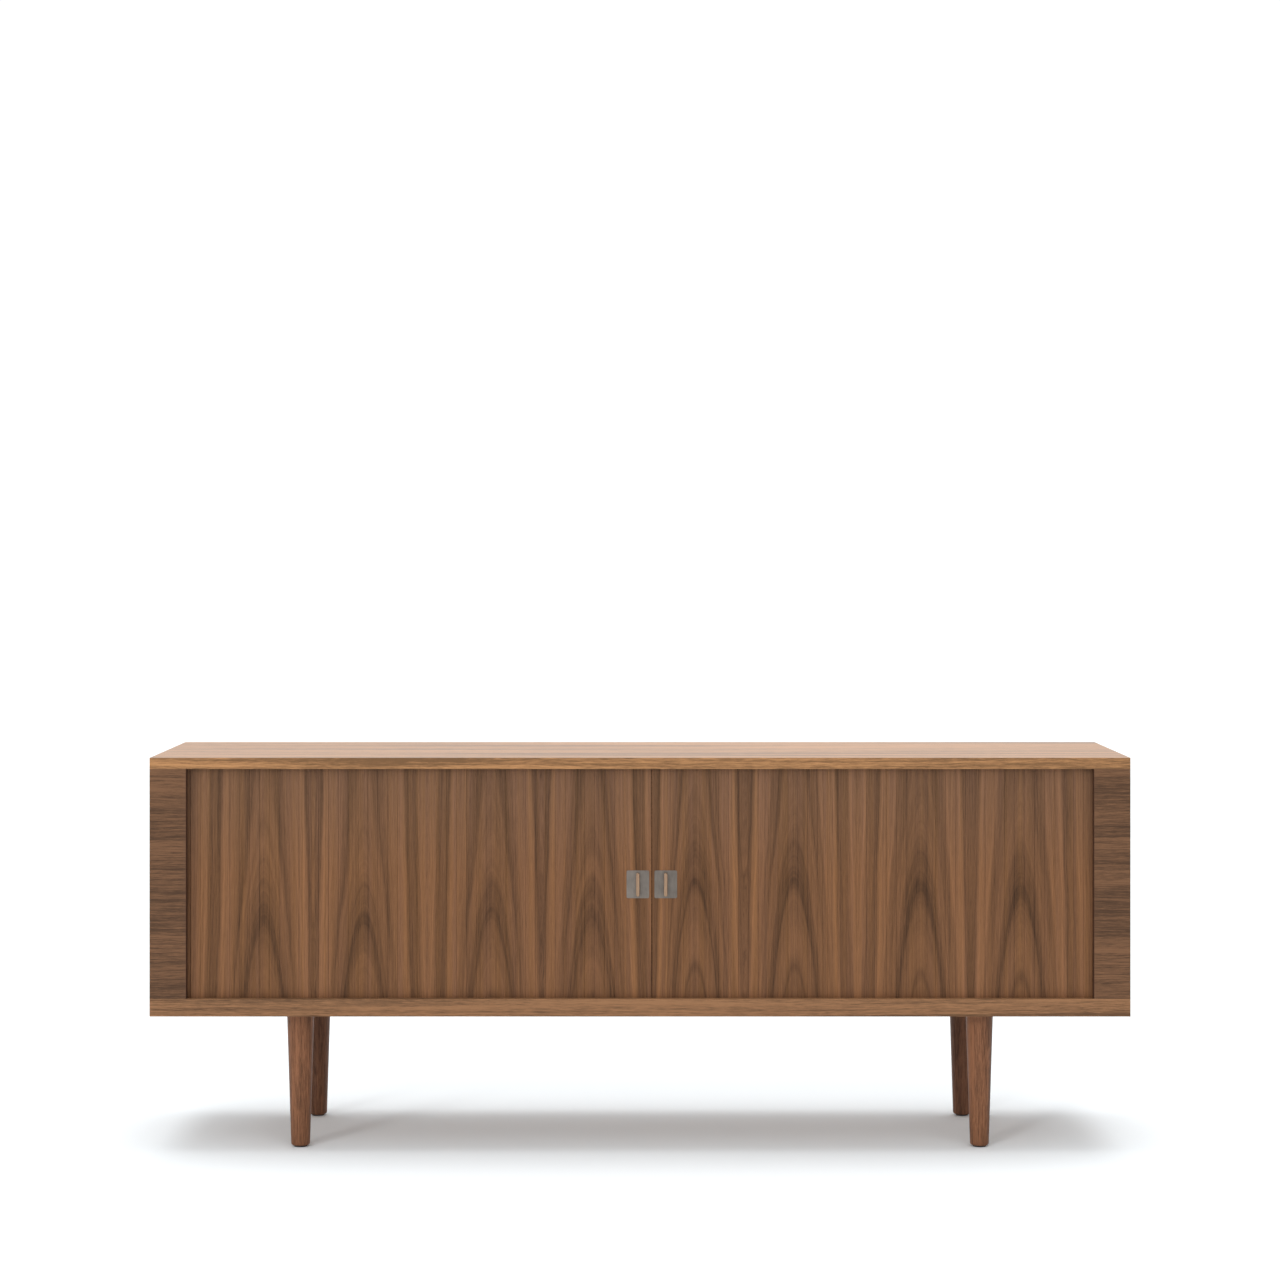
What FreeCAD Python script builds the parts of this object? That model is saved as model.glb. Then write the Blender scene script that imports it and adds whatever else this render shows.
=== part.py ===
import FreeCAD, Part
import math
import os
import re

import Sketcher
from FreeCAD import Placement, Rotation, Vector

# A low sideboard on four turned legs, closed by two tambour doors. Each door is a lead stile and a
# curtain of slats glued to canvas; it runs in a groove that follows the front, rounds the front corner,
# goes along the side, rounds the back corner and ends behind the inner cabinet.
#
# All lengths are millimetres. X runs to the right as seen from the front, the front faces -Y, Z is up,
# and the origin is on the floor under the middle of the case.

SIZES = {
    # the case
    "case_width": 1945,
    "case_depth": 485,
    "top_thickness": 22,
    "opening_height": 456,
    "bottom_thickness": 35,
    "end_thickness": 22,
    "stile_width": 73,
    "stile_thickness": 14,
    "back_thickness": 8,
    "back_rebate": 8,
    "housing_depth": 5,
    # the inner cabinet
    "inner_clearance": 7.7,
    "inner_side_thickness": 14,
    "inner_back_thickness": 9,
    "partition_thickness": 18,
    "partition_setback": 5,
    # the shelves and their pins
    "shelf_thickness": 16,
    "shelf_setback": 12,
    "shelf_play": 0.5,
    "shelf_height": 214,
    "pin_diameter": 5,
    "pin_depth": 8,
    "pin_reach": 8,
    "pin_head": 7,
    "pin_row_inset": 45,
    "pin_pitch": 32,
    "pin_hole_depth": 9,
    # the legs and what holds them
    "leg_length": 271,
    "leg_top_diameter": 54.6,
    "leg_foot_diameter": 37.4,
    "leg_foot_round": 5,
    "leg_inset_side": 291.5,
    "leg_inset_front": 74.5,
    "glide_diameter": 26,
    "glide_thickness": 2.5,
    "glide_pin_diameter": 3,
    "glide_pin_length": 12,
    "bolt_diameter": 8,
    "bolt_in_leg": 35,
    "bolt_in_case": 18,
    "insert_diameter": 12,
    "insert_length": 20,
    # the doors
    "slat_thickness": 8,
    "slat_pitch": 19.6,
    "slat_joint": 0.2,
    "slat_chamfer": 0.2,
    "slat_gap": 2,
    "canvas_thickness": 0.8,
    "canvas_margin": 6,
    "canvas_overlap": 12,
    "lead_width": 54,
    "door_gap": 1.5,
    "meeting_offset": 23.5,
    "stop_gap": 3,
    # the groove the doors run in
    "track_depth": 7,
    "track_play": 0.6,
    "track_floor_play": 0.3,
    "track_head_play": 1,
    "track_stop_length": 16,
    # the handles
    "plate_width": 45,
    "plate_height": 55,
    "plate_thickness": 2,
    "plate_proud": 0.5,
    "plate_corner": 3,
    "plate_edge": 4.5,
    "handle_height": 225.5,
    "grip_width": 7,
    "grip_height": 46,
    "grip_reach": 12.5,
    "grip_mortise": 4,
    "grip_round": 1,
    "grip_screw_spacing": 26,
    "grip_screw_diameter": 3,
    "grip_screw_head": 6,
    "grip_screw_head_height": 1.6,
    "grip_screw_length": 14,
    # fixings of the case
    "back_screw_diameter": 3.5,
    "back_screw_head": 7,
    "back_screw_head_height": 2,
    "back_screw_length": 20,
    "dowel_diameter": 8,
    "dowel_length": 28,
}

# Levels and lines that several pieces share, written with the sizes above.
HALF_WIDTH = "(case_width / 2)"
HALF_DEPTH = "(case_depth / 2)"
FLOOR = "(leg_length + bottom_thickness)"
CEILING = "(leg_length + bottom_thickness + opening_height)"
OVERALL_HEIGHT = "(leg_length + bottom_thickness + opening_height + top_thickness)"
HANDLE_LEVEL = "(leg_length + bottom_thickness + handle_height)"
END_FACE = "(case_width / 2 - end_thickness)"
BACK_FACE = "(case_depth / 2 - back_thickness)"
CASE_FOOTPRINT = ((f"-{HALF_WIDTH}", HALF_WIDTH), (f"-{HALF_DEPTH}", HALF_DEPTH))
BACK_FOOTPRINT = ((f"-({END_FACE} + back_rebate)", f"{END_FACE} + back_rebate"), (BACK_FACE, HALF_DEPTH))
SLAT_FACE = "(case_depth / 2 - stile_thickness - slat_gap)"
CANVAS_LINE = "(case_depth / 2 - stile_thickness - slat_gap - slat_thickness)"
BEND_RADIUS = "(stile_width - end_thickness - slat_gap - slat_thickness)"
CORNER_X = "(case_width / 2 - stile_width)"
CORNER_Y = f"({CANVAS_LINE} - {BEND_RADIUS})"
SLAT_WIDTH = "(slat_pitch - slat_joint)"
SLAT_BOTTOM = f"({FLOOR} - track_depth + track_floor_play)"
SLAT_TOP = f"({CEILING} + track_depth - track_head_play)"
OUTER_RADIUS = f"({BEND_RADIUS} + slat_thickness)"
TRACK_OUTER = f"(sqrt({OUTER_RADIUS} * {OUTER_RADIUS} + {SLAT_WIDTH} * {SLAT_WIDTH} / 4) + track_play)"
TRACK_INNER = f"({BEND_RADIUS} - canvas_thickness - track_play)"
INNER_REACH = f"({CANVAS_LINE} - canvas_thickness - inner_clearance)"
INNER_BACK_FACE = f"({INNER_REACH} - inner_back_thickness)"
HOUSED_HEIGHT = (f"{FLOOR} - housing_depth", f"{CEILING} + housing_depth")
BAY_COUNT = 4
BAY_WIDTH = f"((2 * {CORNER_X} - {BAY_COUNT - 1} * partition_thickness) / {BAY_COUNT})"
SHELF_UNDERSIDE = f"({FLOOR} + shelf_height)"
PIN_LEVEL = f"({SHELF_UNDERSIDE} - pin_head / 2)"
PIN_HOLES_EACH_WAY = 4
PIN_ROW_FRONT = f"(pin_row_inset - {INNER_REACH})"
PIN_ROW_BACK = f"({INNER_BACK_FACE} - pin_row_inset)"
TRAILING_SHARE_OF_BEND = 0.95

SIDES = {"left": -1, "right": 1}
PARTITIONS = {"left_partition": 1, "centre_partition": 2, "right_partition": 3}
CORNERS = {"back_right": (1, 1, 0), "back_left": (-1, 1, 90), "front_left": (-1, -1, 180),
           "front_right": (1, -1, 270)}

doc = FreeCAD.newDocument("sideboard")
sheet = doc.addObject("Spreadsheet::Sheet", "Sizes")


def fill_sheet():
    """One row for each size: its name, and its value under that name as alias."""
    for row, (name, size) in enumerate(SIZES.items(), 1):
        sheet.set(f"A{row}", name)
        sheet.set(f"B{row}", str(size))
        sheet.setAlias(f"B{row}", name)
    doc.recompute()


def linked(text):
    """The formula with every size pointing at its cell."""
    return re.sub(r"[a-z_]+", lambda word: "Sizes." * (word.group() in SIZES) + word.group(), str(text))


def value(text):
    """What a formula comes to with the sizes now in the sheet."""
    return float(sheet.evalExpression(linked(text)))


def bind(thing, field, text):
    thing.setExpression(field, linked(text))


def place(thing, x="0", y="0", z="0", turn=0):
    """Put a thing at a bound position, turned by that many degrees about Z."""
    thing.Placement = Placement(Vector(), Rotation(Vector(0, 0, 1), turn))
    for letter, text in zip("xyz", (x, y, z)):
        bind(thing, f"Placement.Base.{letter}", text)


# ---- plain solids ------------------------------------------------------------------------------------

def mirrored(side, near, far):
    """A span on the right side, or its mirror image on the left."""
    return (near, far) if SIDES[side] > 0 else (f"-({far})", f"-({near})")


def box(name, x, y, z):
    """A box between the two ends given on each axis."""
    block = doc.addObject("Part::Box", name)
    for side, (low, high) in zip(("Length", "Width", "Height"), (x, y, z)):
        bind(block, side, f"({high}) - ({low})")
    place(block, x[0], y[0], z[0])
    return block


def ring(name, centre, radii, z, start, sweep):
    """Part of an upright ring: from the start angle on, over the sweep, both in degrees."""
    any_turn = 1  # a turn of zero has no axis for the bound angle to turn about
    discs = []
    for edge, radius in zip(("inner", "outer"), radii):
        disc = doc.addObject("Part::Cylinder", f"{name}_{edge}")
        bind(disc, "Radius", radius)
        bind(disc, "Height", f"({z[1]}) - ({z[0]})")
        bind(disc, "Angle", sweep)
        place(disc, *centre, z[0], turn=any_turn)
        bind(disc, "Placement.Rotation.Angle", start)
        discs.append(disc)
    return cut(name, discs[1], [discs[0]])


def fuse(name, pieces):
    whole = doc.addObject("Part::MultiFuse", name)
    whole.Shapes = pieces
    whole.Refine = True
    return whole


def cut(name, base, tools):
    """The base with every tool taken away."""
    rest = doc.addObject("Part::Cut", name)
    rest.Base = base
    rest.Tool = tools[0] if len(tools) == 1 else fuse(f"{name}_hollows", tools)
    return rest


def array(name, template, spots):
    """A group of separate copies of the template, one at each spot: x, y, z and a turn about Z."""
    copies = []
    for number, (x, y, z, turn) in enumerate(spots, 1):
        copy = doc.addObject("App::Link", f"{name}_{number}")
        copy.LinkedObject = template
        place(copy, x, y, z, turn)
        copies.append(copy)
    group = doc.addObject("Part::Compound", name)
    group.Links = copies
    return group


# ---- solids drawn as a sketch ------------------------------------------------------------------------

def new_sketch(body, plane):
    sketch = body.newObject("Sketcher::SketchObject", f"{body.Name}_outline")
    base = next(face for face in body.Origin.OriginFeatures if face.Role == plane)
    sketch.AttachmentSupport = [(base, "")]
    sketch.MapMode = "FlatFace"
    return sketch


def hold(sketch, corner, field, text):
    """Fix one coordinate of the start point of a line to a formula."""
    if text == "0":
        sheet_axis = -2 if field == "DistanceX" else -1
        sketch.addConstraint(Sketcher.Constraint("PointOnObject", corner, 1, sheet_axis))
        return
    number = sketch.addConstraint(Sketcher.Constraint(field, -1, 1, corner, 1, value(text)))
    sketch.setExpression(f"Constraints[{number}]", linked(text))


def polygon(sketch, points):
    """A closed outline whose corners are bound to pairs of formulas."""
    spots = [Vector(value(x), value(y), 0) for x, y in points]
    for start, end in zip(spots, spots[1:] + spots[:1]):
        sketch.addGeometry(Part.LineSegment(start, end), False)
    count = len(points)
    for line in range(count):
        sketch.addConstraint(Sketcher.Constraint("Coincident", line, 2, (line + 1) % count, 1))
    for line, (x, y) in enumerate(points):
        hold(sketch, line, "DistanceX", x)
        hold(sketch, line, "DistanceY", y)


def slot(sketch, width, height):
    """An upright outline with half-round ends, centred on the origin of the sketch."""
    radius = value(width) / 2
    rise = value(height) / 2 - radius
    above, below = (Part.Circle(Vector(0, end, 0), Vector(0, 0, 1), radius) for end in (rise, -rise))
    sketch.addGeometry(Part.LineSegment(Vector(radius, -rise, 0), Vector(radius, rise, 0)), False)
    sketch.addGeometry(Part.ArcOfCircle(above, 0, math.pi), False)
    sketch.addGeometry(Part.LineSegment(Vector(-radius, rise, 0), Vector(-radius, -rise, 0)), False)
    sketch.addGeometry(Part.ArcOfCircle(below, math.pi, 2 * math.pi), False)
    for line in range(4):
        sketch.addConstraint(Sketcher.Constraint("Tangent", line, 2, (line + 1) % 4, 1))
    sketch.addConstraint(Sketcher.Constraint("PointOnObject", 1, 3, -2))
    sketch.addConstraint(Sketcher.Constraint("Symmetric", 1, 3, 3, 3, -1, 1))
    number = sketch.addConstraint(Sketcher.Constraint("Radius", 1, radius))
    sketch.setExpression(f"Constraints[{number}]", linked(f"{width} / 2"))
    number = sketch.addConstraint(Sketcher.Constraint("DistanceY", -1, 1, 1, 3, rise))
    sketch.setExpression(f"Constraints[{number}]", linked(f"{height} / 2 - {width} / 2"))


def pad(body, sketch, length, both_ways=False):
    feature = body.newObject("PartDesign::Pad", f"{body.Name}_pad")
    feature.Profile = sketch
    feature.Midplane = both_ways
    bind(feature, "Length", length)
    doc.recompute()
    return feature


def turned(name, plane, axis, points):
    """A body turned about one axis of the sketch; the points outline half of its section."""
    body = doc.addObject("PartDesign::Body", name)
    sketch = new_sketch(body, plane)
    polygon(sketch, points)
    spin = body.newObject("PartDesign::Revolution", f"{name}_turning")
    spin.Profile = sketch
    spin.ReferenceAxis = (sketch, [axis])
    spin.Angle = 360
    doc.recompute()
    return body


def soften(body, feature, radius, wanted):
    """Round the edges of the feature for which the test holds."""
    names = [f"Edge{number}" for number, edge in enumerate(feature.Shape.Edges, 1) if wanted(edge)]
    rounding = body.newObject("PartDesign::Fillet", f"{body.Name}_rounding")
    rounding.Base = (feature, names)
    bind(rounding, "Radius", radius)
    doc.recompute()
    return rounding


def runs_along(edge, letter):
    """True for a straight edge that runs along the axis of that letter."""
    lengths = {"x": edge.BoundBox.XLength, "y": edge.BoundBox.YLength, "z": edge.BoundBox.ZLength}
    along = lengths.pop(letter)
    return along > 0.01 and max(lengths.values()) < 0.001


def screw(name, diameter, head, head_height, length):
    """A countersunk wood screw that points to -Y, its flat head at the origin."""
    tip = f"({length}) - {diameter}"
    outline = [("0", "0"), (f"{head} / 2", "0"), (f"{diameter} / 2", f"-{head_height}"),
               (f"{diameter} / 2", f"-({tip})"), ("0", f"-({length})")]
    return turned(name, "XY_Plane", "V_Axis", outline)


# ---- the groove --------------------------------------------------------------------------------------

def door_edge(side):
    """X of the edge where this door meets the other."""
    return f"(meeting_offset + {SIDES[side]} * door_gap / 2)"


def lead_edge(side):
    """X of the edge of the lead stile where the curtain begins."""
    return f"({door_edge(side)} + {SIDES[side]} * lead_width)"


def plate_centre(side):
    return f"({door_edge(side)} + {SIDES[side]} * (plate_edge + plate_width / 2))"


def straight_run(side):
    """How far the curtain of a closed door goes before its bend."""
    return f"({CORNER_X} - {SIDES[side]} * {lead_edge(side)})"


def slat_count(side):
    """As many slats as fill the straight run and most of the bend behind the front stile."""
    bend = f"{TRAILING_SHARE_OF_BEND} * pi / 2 * {BEND_RADIUS}"
    return int(value(f"({straight_run(side)} + {bend}) / slat_pitch"))


def curtain_in_bend(side):
    """How much of the curtain of a closed door is round the bend."""
    return f"({slat_count(side)} * slat_pitch - {straight_run(side)})"


def travel(side):
    """The door stops when its handle plate is one stop gap short of the front stile."""
    return f"({CORNER_X} - stop_gap - {SIDES[side]} * {plate_centre(side)} - plate_width / 2)"


def back_run(side):
    """How far the curtain of an open door reaches along the back."""
    bends = f"(pi * {BEND_RADIUS} + 2 * {CORNER_Y})"
    return f"({curtain_in_bend(side)} + {travel(side)} - {bends})"


def track(name, z):
    """The whole run of the groove between two heights, as a solid to take away."""
    near, far = f"({CORNER_Y} + {TRACK_INNER})", f"({CORNER_Y} + {TRACK_OUTER})"
    pieces = [box(f"{name}_front", (f"-{CORNER_X}", CORNER_X), (f"-{far}", f"-{near}"), z)]
    for corner, (across, along, start) in CORNERS.items():
        centre = (f"{across} * {CORNER_X}", f"{along} * {CORNER_Y}")
        pieces.append(ring(f"{name}_{corner}", centre, (TRACK_INNER, TRACK_OUTER), z, str(start), "90"))
    for side in SIDES:
        along_side = mirrored(side, f"{CORNER_X} + {TRACK_INNER}", f"{CORNER_X} + {TRACK_OUTER}")
        pieces.append(box(f"{name}_{side}", along_side, (f"-{CORNER_Y}", CORNER_Y), z))
        behind = mirrored(side, f"{CORNER_X} - {back_run(side)} - track_stop_length", CORNER_X)
        pieces.append(box(f"{name}_back_{side}", behind, (near, far), z))
    return fuse(name, pieces)


def on_track(side, distance):
    """Where a point of the canvas lies and how far it is turned, going back from the lead stile."""
    sign = SIDES[side]
    past = distance - value(straight_run(side))
    if past <= 0:
        return value(lead_edge(side)) + sign * distance, -value(CANVAS_LINE), 0
    radius = value(BEND_RADIUS)
    turn = past / radius
    x = sign * (value(CORNER_X) + radius * math.sin(turn))
    y = -(value(CORNER_Y) + radius * math.cos(turn))
    return x, y, sign * math.degrees(turn)


# ---- fixings -----------------------------------------------------------------------------------------

def make_dowels():
    peg = turned("dowel", "XZ_Plane", "V_Axis",
                 [("0", "-dowel_length / 2"), ("dowel_diameter / 2", "-dowel_length / 2"),
                  ("dowel_diameter / 2", "dowel_length / 2"), ("0", "dowel_length / 2")])
    room = "(case_depth - stile_thickness - back_thickness)"
    spots = []
    for sign in SIDES.values():
        for level in (FLOOR, CEILING):
            for quarter in (0.5, 1.5, 2.5, 3.5):
                x = f"{sign} * (case_width - end_thickness) / 2"
                y = f"stile_thickness - {HALF_DEPTH} + {room} * {quarter} / 4"
                spots.append((x, y, level, 0))
    return array("carcass_dowels", peg, spots)


def make_back_screws():
    one = screw("back_screw", "back_screw_diameter", "back_screw_head", "back_screw_head_height",
                "back_screw_length")
    spots = []
    for sign in SIDES.values():
        for quarter in (0.5, 1.5, 2.5, 3.5):
            x = f"{sign} * ({END_FACE} + back_rebate / 2)"
            spots.append((x, HALF_DEPTH, f"{FLOOR} + opening_height * {quarter} / 4", 0))
    for level in (f"{FLOOR} - back_rebate / 2", f"{CEILING} + back_rebate / 2"):
        for share in (-0.4, 0, 0.4):
            spots.append((f"{share} * {CORNER_X}", HALF_DEPTH, level, 0))
    return array("back_screws", one, spots)


def leg_spots(z):
    """The four leg axes at one height."""
    x = f"({HALF_WIDTH} - leg_inset_side)"
    y = f"({HALF_DEPTH} - leg_inset_front)"
    return [(f"{across} * {x}", f"{along} * {y}", z, 0) for across in (-1, 1) for along in (-1, 1)]


def make_leg_bolts():
    rod = turned("leg_bolt", "XZ_Plane", "V_Axis",
                 [("0", "-bolt_in_leg"), ("bolt_diameter / 2", "-bolt_in_leg"),
                  ("bolt_diameter / 2", "bolt_in_case"), ("0", "bolt_in_case")])
    return array("leg_bolts", rod, leg_spots("leg_length"))


def make_leg_inserts():
    sleeve = turned("leg_insert", "XZ_Plane", "V_Axis",
                    [("bolt_diameter / 2", "0"), ("insert_diameter / 2", "0"),
                     ("insert_diameter / 2", "insert_length"), ("bolt_diameter / 2", "insert_length")])
    return array("leg_inserts", sleeve, leg_spots("leg_length"))


def make_foot_glides():
    pad_top = "glide_thickness"
    pin_top = "(glide_thickness + glide_pin_length)"
    glide = turned("foot_glide", "XZ_Plane", "V_Axis",
                   [("0", "0"), ("glide_diameter / 2", "0"), ("glide_diameter / 2", pad_top),
                    ("glide_pin_diameter / 2", pad_top), ("glide_pin_diameter / 2", pin_top), ("0", pin_top)])
    return array("foot_glides", glide, leg_spots("0"))


# ---- the case ----------------------------------------------------------------------------------------

def inner_footprints(name, z):
    """The inner cabinet as far as it is housed in the panel above or below it."""
    tools = [box(f"{name}_back", inner_width(), (INNER_BACK_FACE, INNER_REACH), z)]
    for side in SIDES:
        tools.append(box(f"{name}_{side}", inner_side_span(side), (f"-{INNER_REACH}", INNER_BACK_FACE), z))
    for partition, number in PARTITIONS.items():
        tools.append(box(f"{name}_{partition}", partition_span(number), partition_depth(), z))
    return tools


def make_top_panel(dowels, screws):
    slab = box("top_slab", *CASE_FOOTPRINT, (CEILING, OVERALL_HEIGHT))
    rebate = box("top_rebate", *BACK_FOOTPRINT, (CEILING, f"{CEILING} + back_rebate"))
    groove = track("top_track", (CEILING, f"{CEILING} + track_depth"))
    housings = inner_footprints("top_housing", (CEILING, f"{CEILING} + housing_depth"))
    return cut("top_panel", slab, [rebate, groove, dowels, screws] + housings)


def make_bottom_panel(dowels, screws, bolts, inserts):
    slab = box("bottom_slab", *CASE_FOOTPRINT, ("leg_length", FLOOR))
    rebate = box("bottom_rebate", *BACK_FOOTPRINT, (f"{FLOOR} - back_rebate", FLOOR))
    groove = track("bottom_track", (f"{FLOOR} - track_depth", FLOOR))
    housings = inner_footprints("bottom_housing", (f"{FLOOR} - housing_depth", FLOOR))
    return cut("bottom_panel", slab, [rebate, groove, dowels, screws, bolts, inserts] + housings)


def make_end_panel(side, dowels, screws):
    board = box(f"{side}_end_board", mirrored(side, END_FACE, HALF_WIDTH),
                (f"stile_thickness - {HALF_DEPTH}", HALF_DEPTH), (FLOOR, CEILING))
    rebate = box(f"{side}_end_rebate", mirrored(side, END_FACE, f"{END_FACE} + back_rebate"),
                 (BACK_FACE, HALF_DEPTH), (FLOOR, CEILING))
    return cut(f"{side}_end_panel", board, [rebate, dowels, screws])


def make_front_stile(side):
    return box(f"{side}_front_stile", mirrored(side, CORNER_X, HALF_WIDTH),
               (f"-{HALF_DEPTH}", f"stile_thickness - {HALF_DEPTH}"), (FLOOR, CEILING))


def make_outer_back(screws):
    board = box("outer_back_board", *BACK_FOOTPRINT, (f"{FLOOR} - back_rebate", f"{CEILING} + back_rebate"))
    return cut("outer_back_panel", board, [screws])


def make_leg(name, across, along):
    """A leg turned with an even taper, bored for its bolt above and its glide below."""
    height = "(leg_length - glide_thickness)"
    bore = f"({height} - bolt_in_leg)"
    leg = turned(name, "XZ_Plane", "V_Axis",
                 [("glide_pin_diameter / 2", "0"), ("leg_foot_diameter / 2", "0"),
                  ("leg_top_diameter / 2", height), ("bolt_diameter / 2", height),
                  ("bolt_diameter / 2", bore), ("0", bore), ("0", "glide_pin_length"),
                  ("glide_pin_diameter / 2", "glide_pin_length")])
    rim = value("leg_foot_diameter / 2")
    soften(leg, leg.Tip, "leg_foot_round",
           lambda edge: isinstance(edge.Curve, Part.Circle) and abs(edge.Curve.Radius - rim) < 0.001
           and abs(edge.Curve.Center.z) < 0.001)
    place(leg, f"{across} * ({HALF_WIDTH} - leg_inset_side)", f"{along} * ({HALF_DEPTH} - leg_inset_front)",
          "glide_thickness")
    return leg


# ---- the inner cabinet -------------------------------------------------------------------------------

def inner_width():
    """The inner cabinet from the outside of one side to the outside of the other."""
    return (f"-({CORNER_X} + inner_side_thickness)", f"{CORNER_X} + inner_side_thickness")


def inner_side_span(side):
    return mirrored(side, CORNER_X, f"{CORNER_X} + inner_side_thickness")


def bay_start(number):
    """X of the left wall of a bay, counted from 0."""
    return f"({number} * ({BAY_WIDTH} + partition_thickness) - {CORNER_X})"


def partition_span(number):
    right = bay_start(number)
    return (f"{right} - partition_thickness", right)


def partition_depth():
    return (f"partition_setback - {INNER_REACH}", INNER_BACK_FACE)


def make_inner_back():
    return box("inner_back_panel", inner_width(), (INNER_BACK_FACE, INNER_REACH), HOUSED_HEIGHT)


def hole_template(name, length):
    """A pin hole along X, centred on the origin."""
    body = doc.addObject("PartDesign::Body", name)
    sketch = new_sketch(body, "YZ_Plane")
    sketch.addGeometry(Part.Circle(Vector(), Vector(0, 0, 1), value("pin_diameter / 2")), False)
    sketch.addConstraint(Sketcher.Constraint("Coincident", 0, 3, -1, 1))
    number = sketch.addConstraint(Sketcher.Constraint("Diameter", 0, value("pin_diameter")))
    sketch.setExpression(f"Constraints[{number}]", linked("pin_diameter"))
    pad(body, sketch, length, both_ways=True)
    return body


def hole_rows(name, template, x):
    """A front and a back row of pin holes centred on x."""
    spots = []
    for y in (PIN_ROW_FRONT, PIN_ROW_BACK):
        for step in range(-PIN_HOLES_EACH_WAY, PIN_HOLES_EACH_WAY + 1):
            spots.append((x, y, f"{PIN_LEVEL} + {step} * pin_pitch", 0))
    return array(name, template, spots)


def make_inner_side(side, hole):
    depth = (f"-{INNER_REACH}", INNER_BACK_FACE)
    board = box(f"{side}_inner_board", inner_side_span(side), depth, HOUSED_HEIGHT)
    holes = hole_rows(f"{side}_inner_holes", hole, f"{SIDES[side]} * {CORNER_X}")
    return cut(f"{side}_inner_side", board, [holes])


def make_partition(name, number, hole):
    board = box(f"{name}_board", partition_span(number), partition_depth(), HOUSED_HEIGHT)
    centre = f"{bay_start(number)} - partition_thickness / 2"
    return cut(name, board, [hole_rows(f"{name}_holes", hole, centre)])


def make_shelf(number):
    start = bay_start(number - 1)
    return box(f"shelf_{number}", (f"{start} + shelf_play", f"{start} + {BAY_WIDTH} - shelf_play"),
               (f"shelf_setback - {INNER_REACH}", f"{INNER_BACK_FACE} - 2 * shelf_play"),
               (SHELF_UNDERSIDE, f"{SHELF_UNDERSIDE} + shelf_thickness"))


def make_shelf_pins():
    """Four shouldered pins under each shelf, two in each wall of its bay."""
    pin = turned("shelf_pin", "XY_Plane", "H_Axis",
                 [("-pin_depth", "0"), ("pin_reach", "0"), ("pin_reach", "pin_head / 2"),
                  ("0", "pin_head / 2"), ("0", "pin_diameter / 2"), ("-pin_depth", "pin_diameter / 2")])
    spots = []
    for bay in range(BAY_COUNT):
        walls = ((bay_start(bay), 0), (f"{bay_start(bay)} + {BAY_WIDTH}", 180))
        for wall, turn in walls:
            for row in (PIN_ROW_FRONT, PIN_ROW_BACK):
                spots.append((wall, row, PIN_LEVEL, turn))
    return array("shelf_pins", pin, spots)


# ---- the doors ---------------------------------------------------------------------------------------

def make_slats(side):
    """The slats of one closed door, placed along the groove with their backs on the canvas."""
    half = f"({SLAT_WIDTH} / 2)"
    slat = doc.addObject("PartDesign::Body", f"{side}_slat")
    sketch = new_sketch(slat, "XY_Plane")
    shoulder = "slat_chamfer - slat_thickness"
    polygon(sketch, [(f"-{half}", "0"), (f"-{half}", shoulder), (f"slat_chamfer - {half}", "-slat_thickness"),
                     (f"{half} - slat_chamfer", "-slat_thickness"), (half, shoulder), (half, "0")])
    pad(slat, sketch, f"{SLAT_TOP} - {SLAT_BOTTOM}")
    spots = []
    for number in range(slat_count(side)):
        x, y, turn = on_track(side, (number + 0.5) * value("slat_pitch"))
        spots.append((x, y, SLAT_BOTTOM, turn))
    return array(f"{side}_slats", slat, spots)


def make_canvas(side):
    """The cloth behind the slats: flat along the front, curved where it enters the bend."""
    z = (f"{FLOOR} + canvas_margin", f"{CEILING} - canvas_margin")
    sign = SIDES[side]
    start = f"{sign} * {lead_edge(side)} - canvas_overlap"
    flat = box(f"{side}_canvas_flat", mirrored(side, start, CORNER_X),
               (f"-{CANVAS_LINE}", f"canvas_thickness - {CANVAS_LINE}"), z)
    sweep = f"({curtain_in_bend(side)} / {BEND_RADIUS} * 180 / pi)"
    begin = "270" if sign > 0 else f"270 - {sweep}"
    bend = ring(f"{side}_canvas_bend", (f"{sign} * {CORNER_X}", f"-{CORNER_Y}"),
                (f"{BEND_RADIUS} - canvas_thickness", BEND_RADIUS), z, begin, sweep)
    return fuse(f"{side}_canvas", [flat, bend])


def make_handle_screws(side):
    one = screw(f"{side}_handle_screw", "grip_screw_diameter", "grip_screw_head", "grip_screw_head_height",
                "grip_screw_length")
    spots = [(plate_centre(side), f"-{CANVAS_LINE}", f"{HANDLE_LEVEL} + {way} * grip_screw_spacing / 2", 0)
             for way in (-1, 1)]
    return array(f"{side}_handle_screws", one, spots)


def make_fin(side):
    """An upright fin with round ends, long enough to go through the plate into the lead stile."""
    fin = doc.addObject("PartDesign::Body", f"{side}_fin")
    sketch = new_sketch(fin, "XZ_Plane")
    slot(sketch, "grip_width", "grip_height")
    block = pad(fin, sketch, "grip_reach + grip_mortise")
    front = -value("grip_reach + grip_mortise")
    soften(fin, block, "grip_round",
           lambda edge: edge.BoundBox.YLength < 0.001 and abs(edge.BoundBox.YMin - front) < 0.001)
    place(fin, plate_centre(side), f"grip_mortise - {SLAT_FACE}", HANDLE_LEVEL)
    return fin


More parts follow.
